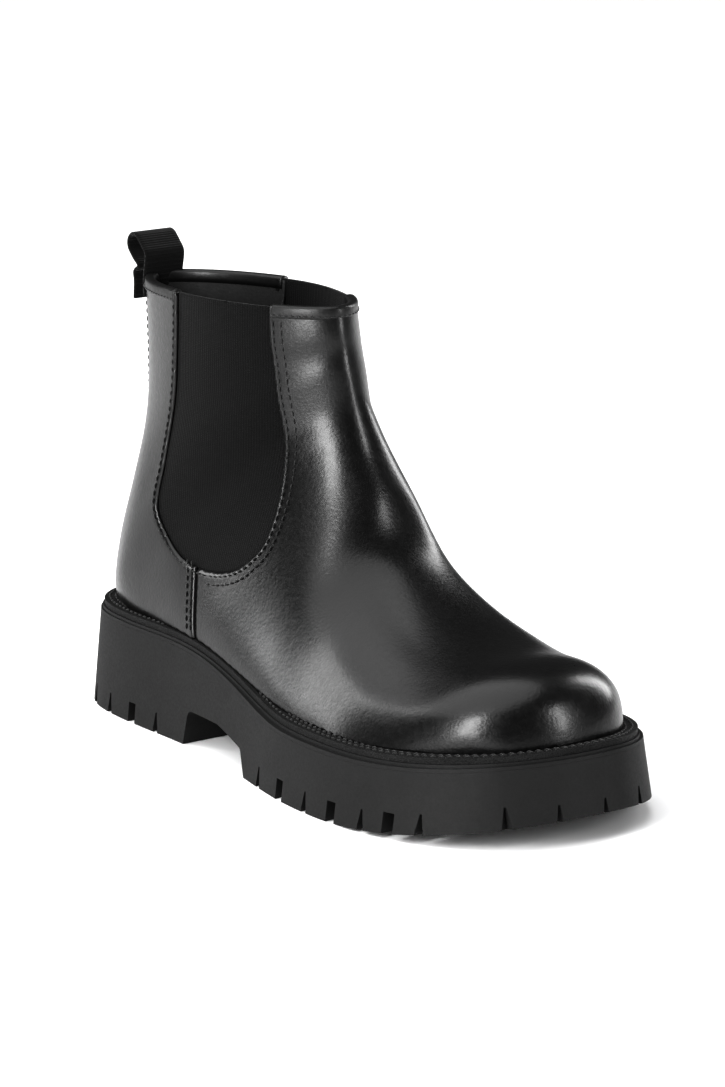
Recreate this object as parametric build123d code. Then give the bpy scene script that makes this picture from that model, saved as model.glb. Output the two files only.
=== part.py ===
from build123d import *
import math
import os

os.makedirs("parts", exist_ok=True)

# Chelsea boot for the right foot. Millimetres, +X to the toe, +Y to the inner side, +Z up.
# The origin is on the ground, in the middle of the sole.

# Driving dimensions of the bottom
sole_length = 300.0
sole_width = 122.0
heel_height = 40.3
forefoot_height = 27.3
toe_spring = 11.0
seat_spring = 8.0
heel_breast_x = -55.0
tread_front_x = 3.0
arch_height = 14.0
seat_drop_start = -70.0
seat_drop_end = 32.0
spring_start = 60.0
seat_spring_start = 60.0
flare_heel = 0.08
flare_toe = 0.15

# Driving dimensions of the upper
shaft_height = 135.0
last_length = 278.0
last_width = 102.0
collar_dip = 3.0
gore_width = 60.0
gore_bottom = 70.0
shaft_split = 86.0
counter_top = 80.0
toe_puff_back = 92.0

# Thicknesses
midsole_thickness = 2.8
welt_thickness = 2.4
insole_thickness = 2.5
footbed_thickness = 4.0
leather = 2.0
stiffener = 1.1
lining = 1.1
gore_thickness = 1.6
strip_thickness = 1.0
binding_thickness = 0.6
webbing = 1.6
shank_thickness = 1.4

# Widths and details
rim_bevel = 1.3
welt_setback = 1.4
welt_tuck = 5.0
upper_inset_heel = 7.6
upper_inset_toe = 14.0
wall = 9.0
tread_floor = 11.0
shank_width = 14.0
shank_back = -112.0
shank_front = 14.0
rivet_radius = 1.6
nail_radius = 1.1
nail_length = 16.0
head_drop = 0.6
strip_width = 17.0
binding_height = 4.2
thread = 0.7
stitch_rows = (2.1, 4.6)
tab_width = 19.0
tab_height = 18.0
tab_gap = 7.0
tab_lean = 45.0

# Tread cuts, by their distance along X, with their width at the ground
fine_cuts = (-127.0, -111.0, -75.0, 14.0, 52.0, 86.0, 112.0)
square_cuts = (-93.0, 33.0, 69.0, 99.0)
toe_cuts = (-30.0, -12.0, 8.0, 28.0)
fine_cut_width = 3.0
square_cut_width = 5.0
cut_height = 8.0
cut_depth = 9.0
groove_depth = 2.4

# Clearances
seat_gap = 0.05
layer_gap = 0.05
seam_gap = 0.5
bed_gap = 0.5
tab_clearance = 0.5

reach = 200.0
half = sole_length / 2
grade_x = sole_length / 300.0
grade_y = sole_width / 122.0
last_x = last_length / 278.0
last_y = last_width / 102.0


def ease(t):
    t = min(max(t, 0.0), 1.0)
    return t * t * (3 - 2 * t)


def spring(x):
    run = max(x - spring_start, 0.0)
    return toe_spring * (run / (half - spring_start)) ** 2


def seat(x):
    fall = ease((seat_drop_end - x) / (seat_drop_end - seat_drop_start))
    run = max(x - seat_spring_start, 0.0) / (half - seat_spring_start)
    return forefoot_height + (heel_height - forefoot_height) * fall + seat_spring * run ** 2


# Ground outline of the sole: station, outer side, inner side
outline_stations = (
    (-147.0, 16.0, 16.0),
    (-134.5, 32.5, 32.5),
    (-108.0, 41.0, 40.6),
    (-60.0, 43.2, 39.8),
    (-15.0, 48.6, 41.0),
    (30.0, 58.6, 51.5),
    (70.0, 61.0, 61.0),
    (106.0, 54.6, 58.6),
    (133.0, 37.8, 44.6),
    (147.6, 15.6, 25.4),
)
heel_end = (-150.0, 0.0)
toe_end = (151.0, 6.0)


def outline_points():
    outer = [(x, -lat) for x, lat, med in outline_stations]
    inner = [(x, med) for x, lat, med in reversed(outline_stations)]
    points = [heel_end] + outer + [toe_end] + inner
    return [(x * grade_x, y * grade_y) for x, y in points]


def inset_points(at_heel, at_toe):
    points = outline_points()
    moved = []
    for i, (x, y) in enumerate(points):
        before = points[i - 1]
        after = points[(i + 1) % len(points)]
        dx = after[0] - before[0]
        dy = after[1] - before[1]
        run = math.hypot(dx, dy)
        share = (x + half) / sole_length
        inset = at_heel + (at_toe - at_heel) * share
        moved.append((x - dy / run * inset, y + dx / run * inset))
    return moved


def outline_wire(z, at_heel, at_toe):
    points = [(x, y, z) for x, y in inset_points(at_heel, at_toe)]
    return Wire([Spline(*points, periodic=True).edge()])


def flared_block():
    low = outline_wire(0, 0, 0)
    top = heel_height * 1.5
    high = outline_wire(top, flare_heel * top, flare_toe * top)
    return Solid.make_loft([low, high], ruled=True)


def outline_prism(at_heel, at_toe):
    top = heel_height * 3
    face = Face(outline_wire(0, at_heel, at_toe))
    return extrude(face, amount=top, dir=(0, 0, 1))


def side_prism(edges, y0=-reach, y1=reach):
    face = make_face(edges)
    face = face.moved(Location((0, y0, 0)))
    return extrude(face, amount=y1 - y0, dir=(0, 1, 0))


def side_polygon(points, y0=-reach, y1=reach):
    line = Polyline(*[(x, 0, z) for x, z in points], close=True)
    return side_prism(line.edges(), y0, y1)


def seat_line(lift):
    steps = 15
    x0 = -half * 1.1
    step = sole_length * 1.1 / (steps - 1)
    stations = [x0 + step * i for i in range(steps)]
    return Spline(*[(x, 0, seat(x) + lift) for x in stations])


def seat_slab(low, high):
    under = seat_line(low)
    over = seat_line(high)
    front = Line(under @ 1, over @ 1)
    back = Line(over @ 0, under @ 0)
    return side_prism([under.edge(), front.edge(), over.edge(), back.edge()])


def below_seat(lift):
    over = seat_line(lift)
    floor = -20.0
    start = over @ 0
    end = over @ 1
    rest = Polyline(end, (end.X, 0, floor), (start.X, 0, floor), start)
    return side_prism([over.edge()] + list(rest.edges()))


def solid_of(shape):
    solids = list(shape.solids())
    return solids[0] if len(solids) == 1 else Compound(children=solids)


# Sections of the last, from the collar down the shaft and forward to the toe. Each has its ridge
# end as (station, height over the seat, side), its far end as (station, height over the seat), how
# far along the widest place lies, the middle there, the outer and inner half widths, and how full
# the section is on the ridge's outer and inner side and at the far end.
sections = (
    ((-11.0, 149.7, 3.0), (-133.5, 142.0), 0.50, 2.5, 26.5, 30.0, 1.75, 1.8, 1.8),
    ((-8.8, 137.0, 3.0), (-131.0, 103.7), 0.51, 2.8, 26.5, 30.5, 1.75, 1.85, 1.85),
    ((-8.0, 129.6, 3.8), (-131.0, 74.7), 0.54, 3.0, 27.0, 31.0, 1.75, 1.9, 1.95),
    ((-6.8, 123.0, 4.2), (-136.0, 47.7), 0.58, 2.6, 29.3, 32.0, 1.75, 2.0, 2.1),
    ((-5.8, 117.4, 4.9), (-141.5, 21.7), 0.66, 2.2, 32.0, 33.3, 1.75, 2.05, 2.1),
    ((-4.8, 111.3, 5.6), (-139.5, -3.3), 0.74, 1.5, 34.0, 34.0, 1.75, 2.1, 2.2),
    ((-3.8, 106.2, 6.4), (-121.0, -11.8), 0.76, 1.0, 35.0, 33.7, 1.75, 2.2, 2.5),
    ((-1.8, 100.0, 7.2), (-96.0, -13.8), 0.77, 0.5, 35.5, 33.0, 1.75, 2.3, 2.8),
    ((2.2, 91.0, 8.4), (-65.0, -15.2), 0.77, 0.0, 37.0, 33.0, 1.8, 2.4, 3.1),
    ((10.4, 78.3, 9.8), (-30.0, -15.9), 0.78, 0.0, 40.5, 34.5, 1.85, 2.4, 3.2),
    ((22.0, 58.6, 9.3), (5.0, -13.5), 0.78, 0.0, 45.5, 40.0, 1.9, 2.4, 3.2),
    ((45.0, 44.0, 8.0), (45.0, -13.3), 0.78, 0.0, 50.0, 45.5, 2.0, 2.4, 3.2),
    ((68.0, 36.2, 6.5), (64.0, -13.0), 0.79, 0.0, 51.5, 50.0, 2.1, 2.4, 3.2),
    ((90.0, 32.2, 5.0), (81.0, -13.5), 0.78, 1.0, 49.5, 49.5, 2.2, 2.4, 3.2),
    ((109.0, 31.6, 4.5), (93.0, -14.5), 0.76, 2.0, 45.5, 46.5, 2.3, 2.4, 3.2),
    ((124.0, 27.6, 4.0), (103.0, -14.5), 0.74, 3.0, 40.5, 41.5, 2.2, 2.3, 3.0),
    ((132.5, 19.6, 4.0), (110.0, -14.5), 0.70, 3.5, 35.0, 36.0, 2.1, 2.1, 2.8),
    ((136.4, 9.0, 4.0), (116.0, -13.0), 0.68, 4.0, 30.5, 31.5, 2.0, 2.0, 2.6),
    ((137.4, -2.0, 4.0), (121.0, -12.0), 0.68, 4.0, 26.5, 27.5, 1.9, 1.9, 2.4),
)
drawn_shaft_height = 135.0
section_points = 16
steps_between = 2


def last_point(station, over_seat):
    x = station * last_x * grade_x
    share = over_seat * shaft_height / drawn_shaft_height
    rise = share if over_seat > 0 else over_seat
    return Vector(x, 0, seat(x) + rise)


def quarter_edge(points, quarter):
    span = section_points // 4
    start = quarter * span
    run = [points[(start + i) % section_points] for i in range(span + 1)]
    before = points[start - 1]
    after = points[(start + span + 1) % section_points]
    leaving = run[1] - before
    arriving = after - run[-2]
    shares = [i / span for i in range(span + 1)]
    return Edge.make_spline(run, tangents=(leaving, arriving), parameters=shares)


def section_wire(section, inset):
    ridge, far, along, middle, outer, inner, outer_fullness, inner_fullness, far_fullness = section
    top = last_point(ridge[0], ridge[1])
    end = last_point(*far)
    aim = (end - top).normalized()
    centre = top + (end - top) * along
    top = top + aim * inset
    end = end - aim * inset
    points = []
    for i in range(section_points):
        turn = 2 * math.pi * i / section_points
        c = math.cos(turn)
        s = math.sin(turn)
        near_fullness = inner_fullness if s > 0 else outer_fullness
        power = 2 / (near_fullness if c > 0 else far_fullness)
        share = abs(c) ** power
        on_axis = centre + ((top if c > 0 else end) - centre) * share
        line_y = middle + ((ridge[2] if c > 0 else 0) - middle) * share
        half_width = (inner if s > 0 else outer) * last_y * grade_y - inset
        y = line_y * last_y * grade_y + math.copysign(half_width, s) * abs(s) ** power
        points.append(Vector(on_axis.X, y, on_axis.Z))
    return Wire([quarter_edge(points, i) for i in range(4)])


def smooth(before, start, end, after, t):
    if isinstance(start, tuple):
        return tuple(smooth(*values, t) for values in zip(before, start, end, after))
    bend = 2 * before - 5 * start + 4 * end - after
    twist = 3 * (start - end) + after - before
    return start + 0.5 * t * (end - before + t * (bend + t * twist))


def close_sections():
    rows = []
    last = len(sections) - 1
    for i in range(last):
        run = [sections[max(min(i + k, last), 0)] for k in (-1, 0, 1, 2)]
        rows += [smooth(*run, step / steps_between) for step in range(steps_between)]
    return rows + [sections[last]]


def last_solid(inset):
    return Solid.make_loft([section_wire(s, inset) for s in close_sections()], ruled=False)


# Side view of the elastic gore and of the side seam under it
gore_front_top = -35.0
gore_front_low = -22.0
gore_low_height = 97.0
seam_top_x = -64.0
seam_foot_x = -54.0


def collar_height(x):
    front = seat(-17.0) + shaft_height + 9.0
    back = front - collar_dip
    share = (x + 134.0 * grade_x) / (117.0 * grade_x)
    return back + (front - back) * share


def gore_outline(grow):
    back_x = gore_front_top - gore_width + 5.0
    rise = shaft_height / drawn_shaft_height
    top = collar_height(0) + 30.0
    low = gore_bottom - grow
    mid = 43.0 + (gore_low_height - 43.0) * rise
    front = Spline(
        (gore_front_top + grow + 1, 0, top),
        (gore_front_top + grow + 3.5, 0, collar_height(gore_front_top) - 18.0),
        (gore_front_low + grow, 0, mid),
        (gore_front_low - 7.0 + grow * 0.7, 0, mid - 19.0),
        (gore_front_low - 26.0, 0, low),
        (gore_front_low - 50.0, 0, low + 1.5),
        (back_x - grow, 0, low + 16.0),
        (back_x + 1.2 - grow, 0, mid + 9.0),
        (back_x + 3.0 - grow, 0, mid + 36.0),
        (back_x + 4.5 - grow, 0, collar_height(back_x) - 10.0),
        (back_x + 6.0 - grow, 0, top),
    )
    cap = Line(front @ 1, front @ 0)
    return [front.edge(), cap.edge()]


def gore_prism(grow):
    return side_prism(gore_outline(grow))


def seam_line_x():
    return [(seam_top_x, gore_bottom + 14.0), (seam_foot_x, heel_height)]


def front_region(gap):
    (top_x, top_z), (foot_x, foot_z) = seam_line_x()
    high = collar_height(0) + 60.0
    return side_polygon([
        (top_x + gap, high), (top_x + gap, top_z), (foot_x + gap, foot_z), (foot_x + gap, -10),
        (half * 1.3, -10), (half * 1.3, high),
    ])


def back_region(gap, low, high):
    (top_x, top_z), (foot_x, foot_z) = seam_line_x()
    far = -half * 1.4
    if low >= top_z - 1:
        return side_polygon([(top_x - gap, high), (top_x - gap, low), (far, low), (far, high)])
    return side_polygon([
        (top_x - gap, high), (top_x - gap, top_z), (foot_x - gap, foot_z), (foot_x - gap, low),
        (far, low), (far, high),
    ])


def above_collar(drop):
    back = -half * 1.4
    front = half
    high = collar_height(0) + 80.0
    return side_polygon([
        (back, collar_height(back) - drop), (front, collar_height(front) - drop),
        (front, high), (back, high),
    ])


def box_between(x0, x1, y0, y1, z0, z1):
    box = Box(x1 - x0, y1 - y0, z1 - z0)
    return box.moved(Location(((x0 + x1) / 2, (y0 + y1) / 2, (z0 + z1) / 2)))


def arch_cutter():
    x0 = heel_breast_x * grade_x
    x1 = tread_front_x * grade_x
    line = FilletPolyline(
        (x0, 0, -6), (x0 + 3, 0, arch_height), (x1 - 31, 0, arch_height),
        (x1 - 9, 0, arch_height - 4), (x1, 0, -6), radius=3.0, close=True)
    return side_prism(line.edges())


def spring_cutter():
    steps = 6
    x0 = spring_start
    step = (half * 1.1 - x0) / (steps - 1)
    curve = Spline(*[(x0 + step * i, 0, spring(x0 + step * i)) for i in range(steps)],
                   tangents=[(1, 0, 0), (1, 0, 0.2)])
    end = curve @ 1
    rest = Polyline(end, (end.X, 0, -9), (x0, 0, -9), (x0, 0, 0))
    return side_prism([curve.edge()] + list(rest.edges()))


def edge_at(x, side):
    points = outline_points()
    best = None
    for i, (ax, ay) in enumerate(points):
        bx, by = points[(i + 1) % len(points)]
        low = min(ax, bx)
        high = max(ax, bx)
        if low <= x <= high and ay * side >= 0 and by * side >= 0 and high - low > 0:
            share = (x - ax) / (bx - ax)
            best = ay + (by - ay) * share
    return best


def cut_profile(width, square):
    top = width / 2 if square else 0.4
    low = -1.0
    grow = width / 2 + (0.0 if square else 0.3)
    return [(-grow, low), (grow, low), (top, cut_height), (-top, cut_height)]


def side_cut(x, side, width, square):
    y = edge_at(x, side)
    if y is None:
        return None
    base = spring(x)
    points = [(x + px, base + pz) for px, pz in cut_profile(width, square)]
    inner = y - side * cut_depth
    outer = y + side * 6.0
    return side_polygon(points, min(inner, outer), max(inner, outer))


def tread_cutters():
    cutters = []
    rows = [(x, fine_cut_width, False) for x in fine_cuts]
    rows += [(x, square_cut_width, True) for x in square_cuts]
    for station, width, square in rows:
        x = station * grade_x
        for side in (-1, 1):
            cut = side_cut(x, side, width, square)
            if cut is not None:
                cutters.append(cut)
        base = spring(x)
        cutters.append(box_between(x - width / 2, x + width / 2, -reach / 2, reach / 2,
                                   -1, base + groove_depth))
    for y in toe_cuts:
        points = cut_profile(fine_cut_width, False)
        base = spring(half * 0.93)
        line = Polyline(*[(0, y * grade_y + px, base + pz) for px, pz in points], close=True)
        face = make_face(line.edges()).moved(Location((half * 0.90, 0, 0)))
        cutters.append(extrude(face, amount=half * 0.2, dir=(1, 0, 0)))
    return cutters


def core_block(x0, x1, floor, grow):
    block = outline_prism(wall - grow, wall + 2 - grow)
    block = block & seat_slab(-heel_height, -midsole_thickness)
    return block & box_between(x0 - grow, x1 + grow, -reach, reach, floor - grow, heel_height * 2)


def heel_core_block(grow):
    return core_block(-reach, heel_breast_x * grade_x - 6, tread_floor, grow)


def forefoot_core_block(grow):
    x0 = tread_front_x * grade_x + 9
    return core_block(x0, half * 0.86, tread_floor + 2, grow)


def nail_places():
    back = -half + 26.0
    return [(back, 0), (back + 8, 15), (back + 8, -15), (back + 26, 20), (back + 26, -20),
            (back + 46, 16), (back + 46, -16)]


def rivet_places():
    return [(shank_back * grade_x + 8, 0), (shank_front * grade_x - 8, 0)]


def pins(places, radius, low, high):
    solids = []
    for x, y in places:
        base = seat(x) + low
        pin = Cylinder(radius, high - low, align=(Align.CENTER, Align.CENTER, Align.MIN))
        solids.append(pin.moved(Location((x, y, base))))
    return solids


def cut_all(body, cutters):
    return body - cutters


def write(name, shape):
    solid = solid_of(shape)
    solid.label = name
    export_step(solid, "parts/" + name + ".step")
    print(name, len(list(shape.solids())), round(sum(s.volume for s in shape.solids())))


# Bottom unit
def build_bottom():
    block = flared_block()
    floor_of_insole = welt_thickness
    nails_low = -nail_length + floor_of_insole + insole_thickness
    nail_top = floor_of_insole + insole_thickness
    nail_solids = pins(nail_places(), nail_radius, nails_low, nail_top - head_drop)
    nail_holes = pins(nail_places(), nail_radius + seat_gap, nails_low - seat_gap, nail_top + 1)
    shank_low = 0.4
    rivets = pins(rivet_places(), rivet_radius, shank_low, nail_top - head_drop)
    rivet_holes = pins(rivet_places(), rivet_radius + seat_gap, shank_low - seat_gap, nail_top + 1)

    outsole = block & seat_slab(-heel_height * 2, -midsole_thickness)
    outsole = outsole & box_between(-reach, reach, -reach, reach, 0, heel_height * 2)
    outsole = outsole - arch_cutter() - spring_cutter()
    outsole = outsole - heel_core_block(seat_gap) - forefoot_core_block(seat_gap)
    outsole = cut_all(outsole, tread_cutters())
    write("outsole", outsole)

    write("heel_core", cut_all(heel_core_block(0), nail_holes))
    write("forefoot_core", forefoot_core_block(0))

    midsole = block & seat_slab(-midsole_thickness + seat_gap, 0)
    midsole = bevel_rim(midsole, block)
    write("midsole", cut_all(midsole, nail_holes))

    ring = outline_prism(rim_inset_heel() + welt_setback, rim_inset_toe() + welt_setback)
    tucked_heel = upper_inset_heel + welt_tuck
    tucked_toe = upper_inset_toe + welt_tuck
    ring = ring - outline_prism(tucked_heel, tucked_toe)
    welt = ring & seat_slab(seat_gap, welt_thickness)
    threads = []
    for row in stitch_rows:
        at_heel = rim_inset_heel() + welt_setback + row - thread / 2
        at_toe = rim_inset_toe() + welt_setback + row - thread / 2
        band = outline_prism(at_heel, at_toe) - outline_prism(at_heel + thread, at_toe + thread)
        groove = band & seat_slab(welt_thickness - thread / 2, welt_thickness + thread)
        welt = welt - groove
        threads.append(band & seat_slab(welt_thickness - thread / 2 + seat_gap, welt_thickness))
    write("welt", welt)
    write("welt_stitching", Compound(children=[solid_of(t) for t in threads]))

    shank = seat_slab(shank_low, shank_low + shank_thickness)
    shank = shank & box_between(shank_back * grade_x, shank_front * grade_x,
                                -shank_width / 2, shank_width / 2, 0, heel_height * 2)
    room = seat_slab(shank_low - seat_gap, shank_low + shank_thickness + seat_gap)
    room = room & box_between(shank_back * grade_x - seat_gap, shank_front * grade_x + seat_gap,
                              -shank_width / 2 - seat_gap, shank_width / 2 + seat_gap,
                              0, heel_height * 2)
    write("shank", cut_all(shank, rivet_holes))
    cork = outline_prism(tucked_heel + seat_gap, tucked_toe + seat_gap)
    cork = cork & seat_slab(seat_gap, welt_thickness)
    cork = cut_all(cork - room, nail_holes + rivet_holes)
    write("cork_filler", cork)

    inside = last_solid(leather + stiffener + lining + bed_gap)
    board_low = welt_thickness + seat_gap
    board = inside & seat_slab(board_low, welt_thickness + insole_thickness)
    write("insole_board", cut_all(board, nail_holes + rivet_holes))
    bed_low = welt_thickness + insole_thickness + seat_gap
    write("footbed", inside & seat_slab(bed_low, bed_low + footbed_thickness))
    write("heel_nails", Compound(children=[solid_of(p) for p in nail_solids]))
    write("shank_rivets", Compound(children=[solid_of(p) for p in rivets]))


def rim_inset_heel():
    return flare_heel * heel_height


def rim_inset_toe():
    return flare_toe * (forefoot_height + seat_spring)


def bevel_rim(midsole, block):
    lower = midsole & seat_slab(-midsole_thickness, -rim_bevel)
    upper = midsole & seat_slab(-rim_bevel, 0)
    upper = upper & outline_prism(rim_inset_heel() + rim_bevel / 2, rim_inset_toe() + rim_bevel / 2)
    return lower + upper


# Upper
def build_upper():
    skin = last_solid(0)
    under_leather = last_solid(leather)
    under_stiffener_out = last_solid(leather + layer_gap)
    under_stiffener = last_solid(leather + stiffener)
    lining_out = last_solid(leather + stiffener + layer_gap)
    lining_in = last_solid(leather + stiffener + lining)
    sole_cut = below_seat(welt_thickness + seat_gap)
    top_cut = above_collar(0)
    high = collar_height(0) + 40.0
    split = shaft_split * shaft_height / drawn_shaft_height

    def trimmed(shell):
        return shell - sole_cut - top_cut

    leather_shell = trimmed(skin - under_leather)
    stiff_shell = trimmed(under_stiffener_out - under_stiffener)
    lining_shell = trimmed(lining_out - lining_in)

    opening = gore_prism(seam_gap)
    front = front_region(seam_gap / 2)
    heel = back_region(seam_gap / 2, 0, split)
    shaft = back_region(seam_gap / 2, split + seam_gap, high)

    write("vamp", (leather_shell - opening) & front)
    write("vamp_lining", (lining_shell - opening) & front)
    write("quarter_heel", (leather_shell - opening) & heel)
    write("heel_lining", (lining_shell - opening) & heel)
    write("quarter_shaft", (leather_shell - opening) & shaft)
    write("shaft_lining", (lining_shell - opening) & shaft)

    gore_shell = trimmed(last_solid(0.2) - last_solid(0.2 + gore_thickness)) & gore_prism(0)
    write("gore_lateral", gore_shell & box_between(-reach, reach, -reach, 0, 0, high))
    write("gore_medial", gore_shell & box_between(-reach, reach, 0, reach, 0, high))

    counter = stiff_shell - below_seat(welt_thickness + seat_gap)
    counter_zone = side_polygon([
        (-half * 1.2, 0), (seam_top_x - 12, 0), (seam_top_x - 14, heel_height + 16),
        (-108 * grade_x, counter_top), (-half * 1.2, counter_top),
    ])
    write("heel_counter", counter & counter_zone)
    puff_zone = side_polygon([
        (toe_puff_back * grade_x - 12, 0), (half, 0), (half, heel_height * 3),
        (toe_puff_back * grade_x + 4, heel_height * 3),
    ])
    write("toe_puff", stiff_shell & puff_zone)

    strip_shell = last_solid(-strip_thickness) - last_solid(-layer_gap)
    strip_shell = strip_shell - sole_cut - above_collar(binding_height + 0.4)
    band = box_between(-reach, -80 * grade_x, -strip_width / 2, strip_width / 2, 0, high)
    strip = strip_shell & band
    write("back_strip_lower", strip & box_between(-reach, reach, -reach, reach, 0, split))
    write("back_strip_upper", strip & box_between(-reach, reach, -reach, reach,
                                                  split + seam_gap, high))

    bind_out = last_solid(-binding_thickness)
    bind_in = last_solid(leather + stiffener + lining + binding_thickness)
    sleeve_out = last_solid(-layer_gap)
    sleeve_in = last_solid(leather + stiffener + lining + layer_gap)
    rim = (bind_out - bind_in) - above_collar(-binding_thickness)
    rim = rim & above_collar(binding_height)
    core = (sleeve_out - sleeve_in) - above_collar(-layer_gap)
    rim = (rim - core) - opening
    write("collar_binding_front", rim & front)
    write("collar_binding_rear", rim & shaft)


# Pull tab: a flat webbing loop standing on the back of the collar, round at both ends
def stadium(radius, run, width):
    foot = Cylinder(radius, width).rotate(Axis.X, 90)
    head = foot.moved(Location((0, 0, run)))
    middle = Box(2 * radius, width, run, align=(Align.CENTER, Align.CENTER, Align.MIN))
    return foot + head + middle


def build_tab():
    out_r = tab_gap / 2 + webbing
    run = tab_height - 2 * out_r
    loop = stadium(out_r, run, tab_width) - stadium(tab_gap / 2, run, tab_width * 2)
    x = -134.0 * last_x * grade_x + leather + stiffener
    base = collar_height(x) + binding_thickness + tab_clearance + out_r
    write("pull_tab", loop.rotate(Axis.Y, -tab_lean).moved(Location((x, 0, base))))


build_bottom()
build_upper()
build_tab()
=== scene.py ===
import bpy
import math
import numpy as np
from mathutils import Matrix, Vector
from mathutils.bvhtree import BVHTree


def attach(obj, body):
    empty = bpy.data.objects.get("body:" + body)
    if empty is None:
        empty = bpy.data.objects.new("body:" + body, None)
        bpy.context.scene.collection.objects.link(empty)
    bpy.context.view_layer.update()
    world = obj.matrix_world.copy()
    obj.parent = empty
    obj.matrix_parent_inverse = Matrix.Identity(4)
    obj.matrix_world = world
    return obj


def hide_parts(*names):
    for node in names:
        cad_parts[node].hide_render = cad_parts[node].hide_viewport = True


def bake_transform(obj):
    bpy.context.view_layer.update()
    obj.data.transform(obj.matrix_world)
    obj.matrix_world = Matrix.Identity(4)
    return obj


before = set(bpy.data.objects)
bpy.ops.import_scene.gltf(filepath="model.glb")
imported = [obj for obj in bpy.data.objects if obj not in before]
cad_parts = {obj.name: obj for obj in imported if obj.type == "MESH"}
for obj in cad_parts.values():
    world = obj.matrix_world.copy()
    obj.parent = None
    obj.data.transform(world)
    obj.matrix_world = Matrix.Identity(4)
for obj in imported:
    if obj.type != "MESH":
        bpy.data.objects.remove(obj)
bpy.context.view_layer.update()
bpy.ops.object.select_all(action="DESELECT")
random = np.random.default_rng(7)
mm = 0.001

# Shape of the last, in millimetres. Each row: ridge station, ridge height over the seat, ridge side,
# far station, far height, place of the widest part, middle there, outer and inner half width,
# and how full the section is on the outer, inner and far side.
lastRows = np.array([
    (-11.0, 149.7, 3.0, -133.5, 142.0, 0.50, 2.5, 26.5, 30.0, 1.75, 1.8, 1.8),
    (-8.8, 137.0, 3.0, -131.0, 103.7, 0.51, 2.8, 26.5, 30.5, 1.75, 1.85, 1.85),
    (-8.0, 129.6, 3.8, -131.0, 74.7, 0.54, 3.0, 27.0, 31.0, 1.75, 1.9, 1.95),
    (-6.8, 123.0, 4.2, -136.0, 47.7, 0.58, 2.6, 29.3, 32.0, 1.75, 2.0, 2.1),
    (-5.8, 117.4, 4.9, -141.5, 21.7, 0.66, 2.2, 32.0, 33.3, 1.75, 2.05, 2.1),
    (-4.8, 111.3, 5.6, -139.5, -3.3, 0.74, 1.5, 34.0, 34.0, 1.75, 2.1, 2.2),
    (-3.8, 106.2, 6.4, -121.0, -11.8, 0.76, 1.0, 35.0, 33.7, 1.75, 2.2, 2.5),
    (-1.8, 100.0, 7.2, -96.0, -13.8, 0.77, 0.5, 35.5, 33.0, 1.75, 2.3, 2.8),
    (2.2, 91.0, 8.4, -65.0, -15.2, 0.77, 0.0, 37.0, 33.0, 1.8, 2.4, 3.1),
    (10.4, 78.3, 9.8, -30.0, -15.9, 0.78, 0.0, 40.5, 34.5, 1.85, 2.4, 3.2),
    (22.0, 58.6, 9.3, 5.0, -13.5, 0.78, 0.0, 45.5, 40.0, 1.9, 2.4, 3.2),
    (45.0, 44.0, 8.0, 45.0, -13.3, 0.78, 0.0, 50.0, 45.5, 2.0, 2.4, 3.2),
    (68.0, 36.2, 6.5, 64.0, -13.0, 0.79, 0.0, 51.5, 50.0, 2.1, 2.4, 3.2),
    (90.0, 32.2, 5.0, 81.0, -13.5, 0.78, 1.0, 49.5, 49.5, 2.2, 2.4, 3.2),
    (109.0, 31.6, 4.5, 93.0, -14.5, 0.76, 2.0, 45.5, 46.5, 2.3, 2.4, 3.2),
    (124.0, 27.6, 4.0, 103.0, -14.5, 0.74, 3.0, 40.5, 41.5, 2.2, 2.3, 3.0),
    (132.5, 19.6, 4.0, 110.0, -14.5, 0.70, 3.5, 35.0, 36.0, 2.1, 2.1, 2.8),
    (136.4, 9.0, 4.0, 116.0, -13.0, 0.68, 4.0, 30.5, 31.5, 2.0, 2.0, 2.6),
    (137.4, -2.0, 4.0, 121.0, -12.0, 0.68, 4.0, 26.5, 27.5, 1.9, 1.9, 2.4),
])

upper = {
    "heelHeight": 40.3, "forefootHeight": 27.3, "seatSpring": 8.0, "springStart": 60.0, "soleHalf": 150.0,
    "dropStart": -70.0, "dropEnd": 32.0, "weltTop": 2.4, "shaftHeight": 135.0, "collarDip": 3.0,
    "around": 256, "step": 1.4, "leather": 1.9, "seamTop": (-64.0, 84.0), "seamFoot": (-54.0, 40.3),
    "tuck": 6.0, "overlap": 0.72, "overlapFade": 30.0, "edgeRound": 1.9, "edgeDrop": 0.75, "dive": 1.15,
    "knots": 16, "fineSteps": 40, "rowSmoothing": 30, "loopSmoothing": 6,
}
goreEdge = [
    (-34, 207), (-31.5, 159), (-22, 97), (-29, 78), (-48, 70), (-72, 71.5), (-90, 86),
    (-88.8, 106), (-87, 133), (-85.5, 165), (-84, 207),
]


def ease(t):
    t = np.clip(t, 0.0, 1.0)
    return t * t * (3 - 2 * t)


def seat(x):
    u = upper
    fall = ease((u["dropEnd"] - x) / (u["dropEnd"] - u["dropStart"]))
    run = np.maximum(x - u["springStart"], 0.0) / (u["soleHalf"] - u["springStart"])
    return u["forefootHeight"] + (u["heelHeight"] - u["forefootHeight"]) * fall + u["seatSpring"] * run ** 2


def collar(x):
    front = float(seat(-17.0)) + upper["shaftHeight"] + 9.0
    return front - upper["collarDip"] * (1 - (x + 134.0) / 117.0)


def curveThrough(points, steps):
    # smooth curve through the points, as a chain of short straight runs
    p = np.array(points, float)
    p = np.vstack([2 * p[0] - p[1], p, 2 * p[-1] - p[-2]])
    out = []
    for i in range(1, len(p) - 2):
        for t in np.arange(steps) / steps:
            a, b, c, d = p[i - 1], p[i], p[i + 1], p[i + 2]
            out.append(b + 0.5 * t * (c - a + t * (2 * a - 5 * b + 4 * c - d + t * (3 * (b - c) + d - a))))
    out.append(p[-2])
    return np.array(out)


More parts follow.
